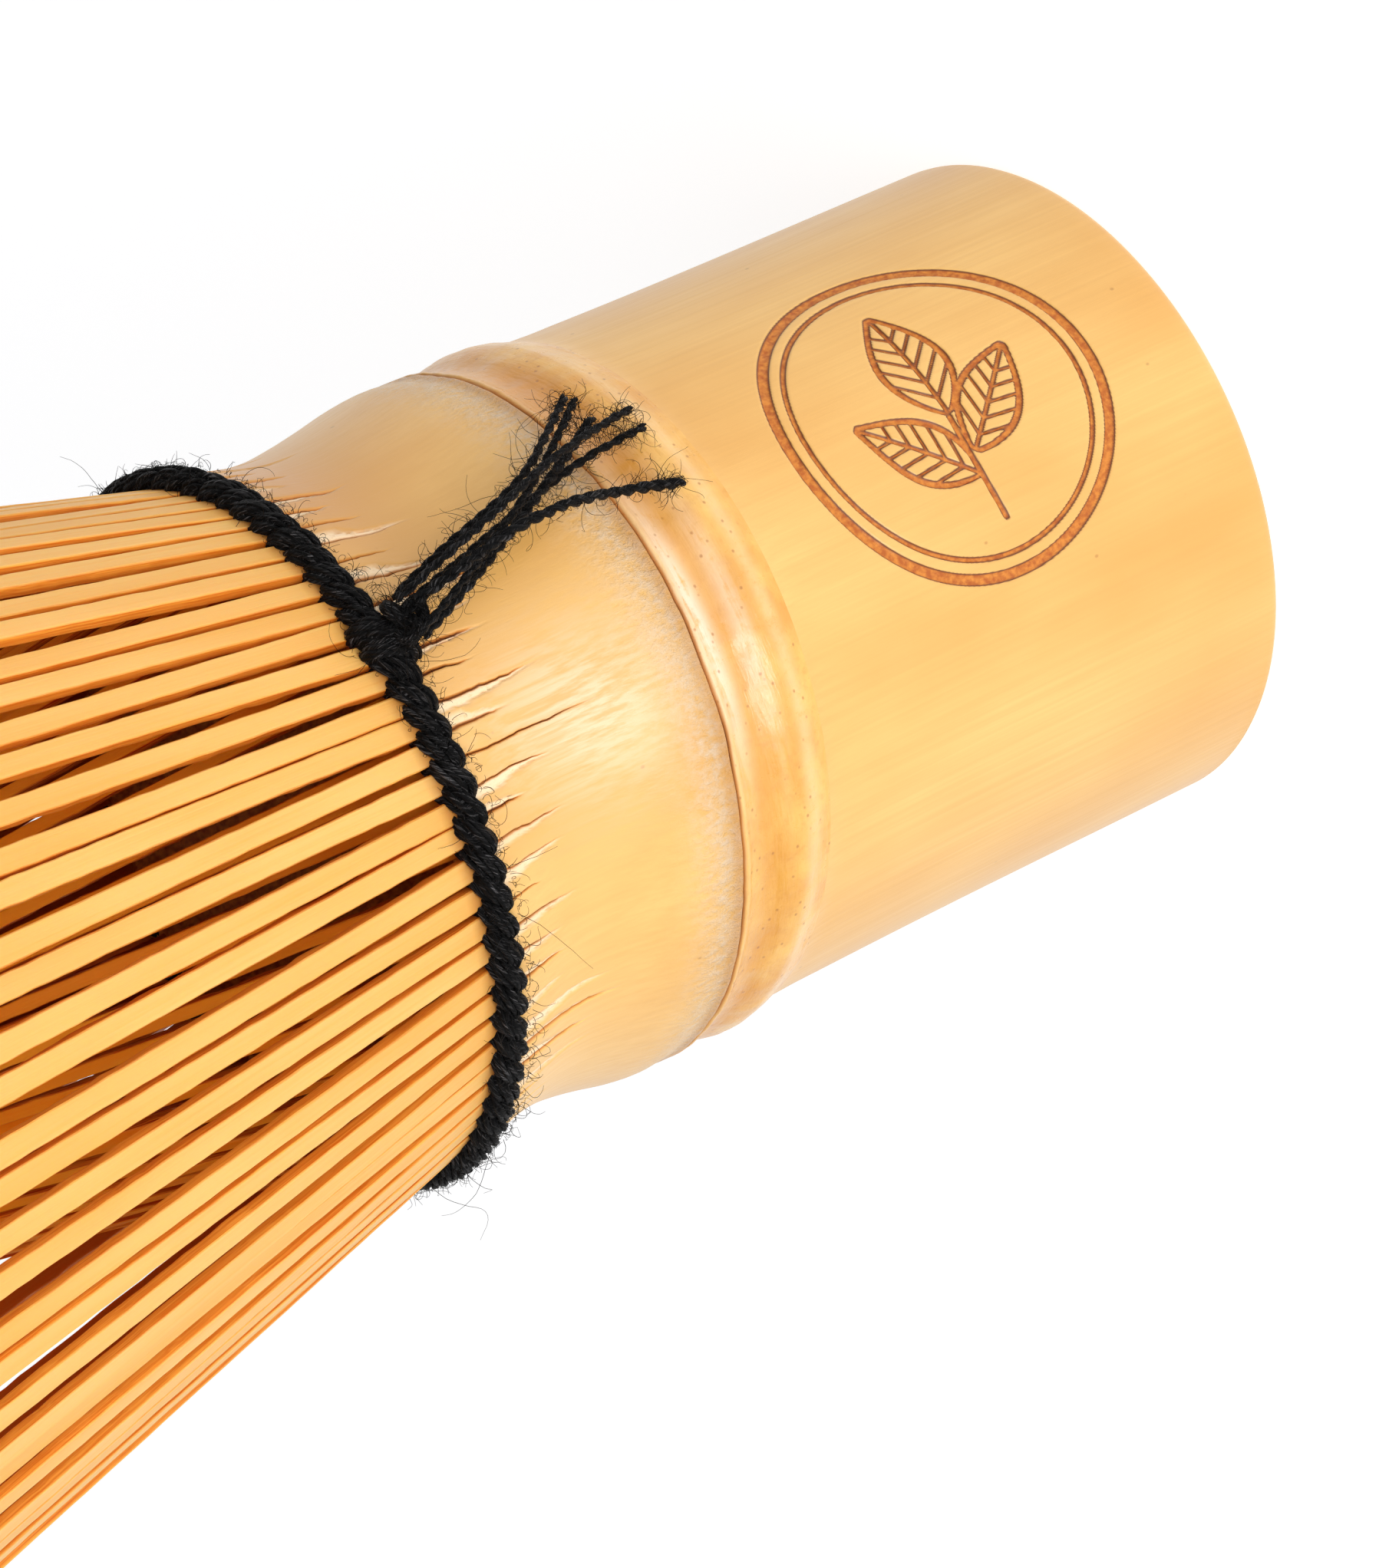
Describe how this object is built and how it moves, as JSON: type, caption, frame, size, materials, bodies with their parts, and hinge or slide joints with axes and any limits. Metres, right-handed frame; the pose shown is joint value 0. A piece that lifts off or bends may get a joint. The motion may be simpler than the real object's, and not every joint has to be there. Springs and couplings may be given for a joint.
{
  "type": "bamboo tea whisk",
  "caption": "Hand tea whisk cut from one bamboo culm: round handle, swollen node, flared ring of curled outer tines, gathered inner tines and a twined black thread with loose ends.",
  "frame": {"origin": "centre of the handle's flat end, on the surface that the whisk stands on", "axes": "+Z along the culm towards the tines; -Y is the side with the engraved mark, the thread's knot is a little towards +X from it"},
  "size_m": [0.058, 0.058, 0.1068],
  "materials": {
    "bamboo_skin": "satin",
    "bamboo_node": "satin, waxy",
    "bamboo_flesh": "matte",
    "bamboo_outer_tines": "satin",
    "bamboo_inner_tines": "matte",
    "cotton_thread": "matte, fuzzy"
  },
  "bodies": {
    "root": {"culm_handle": "bamboo_skin", "node_ring": "bamboo_node", "node_diaphragm": "bamboo_flesh", "neck_collar": "bamboo_skin", "inner_tines_01": "bamboo_inner_tines", "inner_tines_02": "bamboo_inner_tines", "inner_tines_03": "bamboo_inner_tines", "inner_tines_04": "bamboo_inner_tines", "inner_tines_05": "bamboo_inner_tines", "inner_tines_06": "bamboo_inner_tines", "inner_tines_07": "bamboo_inner_tines", "inner_tines_08": "bamboo_inner_tines", "inner_tines_09": "bamboo_inner_tines", "inner_tines_10": "bamboo_inner_tines", "inner_tines_11": "bamboo_inner_tines", "inner_tines_12": "bamboo_inner_tines", "inner_tines_13": "bamboo_inner_tines", "inner_tines_14": "bamboo_inner_tines", "inner_tines_15": "bamboo_inner_tines", "inner_tines_16": "bamboo_inner_tines", "thread_round_1": "cotton_thread", "thread_round_2": "cotton_thread", "thread_knot": "cotton_thread", "thread_tail_1": "cotton_thread", "thread_tail_2": "cotton_thread", "thread_tail_3": "cotton_thread", "thread_tail_4": "cotton_thread", "thread_tail_5": "cotton_thread", "thread_tail_6": "cotton_thread"},
    "split_01": {"outer_tines_01": "bamboo_outer_tines"},
    "split_02": {"outer_tines_02": "bamboo_outer_tines"},
    "split_03": {"outer_tines_03": "bamboo_outer_tines"},
    "split_04": {"outer_tines_04": "bamboo_outer_tines"},
    "split_05": {"outer_tines_05": "bamboo_outer_tines"},
    "split_06": {"outer_tines_06": "bamboo_outer_tines"},
    "split_07": {"outer_tines_07": "bamboo_outer_tines"},
    "split_08": {"outer_tines_08": "bamboo_outer_tines"},
    "split_09": {"outer_tines_09": "bamboo_outer_tines"},
    "split_10": {"outer_tines_10": "bamboo_outer_tines"},
    "split_11": {"outer_tines_11": "bamboo_outer_tines"},
    "split_12": {"outer_tines_12": "bamboo_outer_tines"},
    "split_13": {"outer_tines_13": "bamboo_outer_tines"},
    "split_14": {"outer_tines_14": "bamboo_outer_tines"},
    "split_15": {"outer_tines_15": "bamboo_outer_tines"},
    "split_16": {"outer_tines_16": "bamboo_outer_tines"}
  },
  "joints": [
    {"name": "flex_01", "type": "hinge", "parent": "root", "child": "split_01", "pos_m": [0.00029, -0.0126, 0.0364], "axis": [0.9997, 0.0227, 0], "range_deg": [-1.5, 6], "stiffness_Nm_per_rad": 0.012},
    {"name": "flex_02", "type": "hinge", "parent": "root", "child": "split_02", "pos_m": [0.00509, -0.01153, 0.0364], "axis": [0.915, 0.4035, 0], "range_deg": [-1.5, 6], "stiffness_Nm_per_rad": 0.012},
    {"name": "flex_03", "type": "hinge", "parent": "root", "child": "split_03", "pos_m": [0.00911, -0.0087, 0.0364], "axis": [0.6909, 0.723, 0], "range_deg": [-1.5, 6], "stiffness_Nm_per_rad": 0.012},
    {"name": "flex_04", "type": "hinge", "parent": "root", "child": "split_04", "pos_m": [0.01175, -0.00456, 0.0364], "axis": [0.3616, 0.9323, 0], "range_deg": [-1.5, 6], "stiffness_Nm_per_rad": 0.012},
    {"name": "flex_05", "type": "hinge", "parent": "root", "child": "split_05", "pos_m": [0.0126, 0.00029, 0.0364], "axis": [-0.0227, 0.9997, 0], "range_deg": [-1.5, 6], "stiffness_Nm_per_rad": 0.012},
    {"name": "flex_06", "type": "hinge", "parent": "root", "child": "split_06", "pos_m": [0.01153, 0.00509, 0.0364], "axis": [-0.4035, 0.915, 0], "range_deg": [-1.5, 6], "stiffness_Nm_per_rad": 0.012},
    {"name": "flex_07", "type": "hinge", "parent": "root", "child": "split_07", "pos_m": [0.0087, 0.00911, 0.0364], "axis": [-0.723, 0.6909, 0], "range_deg": [-1.5, 6], "stiffness_Nm_per_rad": 0.012},
    {"name": "flex_08", "type": "hinge", "parent": "root", "child": "split_08", "pos_m": [0.00456, 0.01175, 0.0364], "axis": [-0.9323, 0.3616, 0], "range_deg": [-1.5, 6], "stiffness_Nm_per_rad": 0.012},
    {"name": "flex_09", "type": "hinge", "parent": "root", "child": "split_09", "pos_m": [-0.00029, 0.0126, 0.0364], "axis": [-0.9997, -0.0227, 0], "range_deg": [-1.5, 6], "stiffness_Nm_per_rad": 0.012},
    {"name": "flex_10", "type": "hinge", "parent": "root", "child": "split_10", "pos_m": [-0.00509, 0.01153, 0.0364], "axis": [-0.915, -0.4035, 0], "range_deg": [-1.5, 6], "stiffness_Nm_per_rad": 0.012},
    {"name": "flex_11", "type": "hinge", "parent": "root", "child": "split_11", "pos_m": [-0.00911, 0.0087, 0.0364], "axis": [-0.6909, -0.723, 0], "range_deg": [-1.5, 6], "stiffness_Nm_per_rad": 0.012},
    {"name": "flex_12", "type": "hinge", "parent": "root", "child": "split_12", "pos_m": [-0.01175, 0.00456, 0.0364], "axis": [-0.3616, -0.9323, 0], "range_deg": [-1.5, 6], "stiffness_Nm_per_rad": 0.012},
    {"name": "flex_13", "type": "hinge", "parent": "root", "child": "split_13", "pos_m": [-0.0126, -0.00029, 0.0364], "axis": [0.0227, -0.9997, 0], "range_deg": [-1.5, 6], "stiffness_Nm_per_rad": 0.012},
    {"name": "flex_14", "type": "hinge", "parent": "root", "child": "split_14", "pos_m": [-0.01153, -0.00509, 0.0364], "axis": [0.4035, -0.915, 0], "range_deg": [-1.5, 6], "stiffness_Nm_per_rad": 0.012},
    {"name": "flex_15", "type": "hinge", "parent": "root", "child": "split_15", "pos_m": [-0.0087, -0.00911, 0.0364], "axis": [0.723, -0.6909, 0], "range_deg": [-1.5, 6], "stiffness_Nm_per_rad": 0.012},
    {"name": "flex_16", "type": "hinge", "parent": "root", "child": "split_16", "pos_m": [-0.00456, -0.01175, 0.0364], "axis": [0.9323, -0.3616, 0], "range_deg": [-1.5, 6], "stiffness_Nm_per_rad": 0.012}
  ]
}
